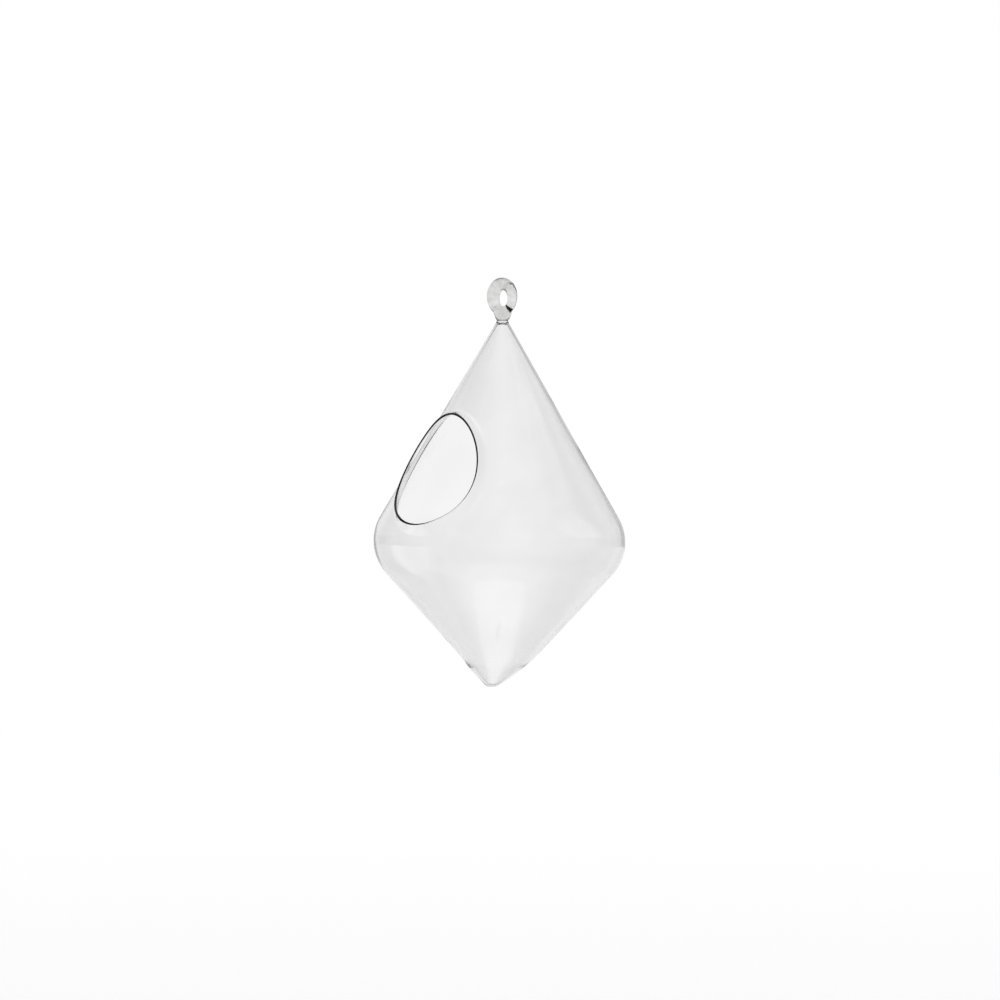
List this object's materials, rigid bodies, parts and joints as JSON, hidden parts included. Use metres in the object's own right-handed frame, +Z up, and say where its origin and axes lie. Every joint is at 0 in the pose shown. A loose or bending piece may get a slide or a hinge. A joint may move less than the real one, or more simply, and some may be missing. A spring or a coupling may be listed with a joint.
{
  "type": "hanging glass vase",
  "caption": "Clear blown-glass double cone with a flared opening in its side and a glass ring to hang it by, for cut stems, air plants or water.",
  "frame": {"origin": "where a hook bears, at the top of the ring's eye", "axes": "+Z up along the vase's axis, -Y towards the side opening, X across the ring"},
  "size_m": [0.114, 0.1158, 0.1855],
  "materials": {
    "blown_glass": "clear, thin wall with faint blowing ripples",
    "rod_glass": "clear, solid, fire-polished"
  },
  "bodies": {
    "root": {"blown_body": "blown_glass", "sealed_tip": "blown_glass", "neck_bit": "rod_glass", "hanging_ring": "rod_glass"}
  },
  "joints": []
}
